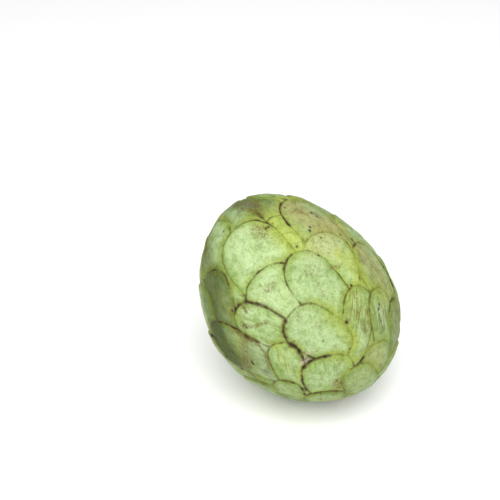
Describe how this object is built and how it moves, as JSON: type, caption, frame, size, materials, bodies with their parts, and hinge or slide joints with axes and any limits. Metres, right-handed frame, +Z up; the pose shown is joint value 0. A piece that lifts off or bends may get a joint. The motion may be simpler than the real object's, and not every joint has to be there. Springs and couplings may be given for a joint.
{
  "type": "custard apple",
  "caption": "Whole custard apple of the cherimoya kind: a lopsided green fruit covered in large flat overlapping scales, with a stem stump in its cavity.",
  "frame": {"origin": "on the surface that the fruit rests on, under the middle of its box", "axes": "+Z up, +X to the right and +Y away from the viewer who sees the fruit as in the picture; the fruit's narrower end leans towards -X and +Y"},
  "size_m": [0.095, 0.0858, 0.1035],
  "materials": {
    "skin": "stands in for waxy satin fruit skin, light yellow-green with a paler bloom on each scale, yellower along the creases, with thin brown-black lines in them and small brown and black blemishes",
    "stem": "dry brown bark with small pale pores, and a paler cut end"
  },
  "bodies": {
    "root": {"fruit": "skin", "stem_stub": "stem"}
  },
  "joints": []
}
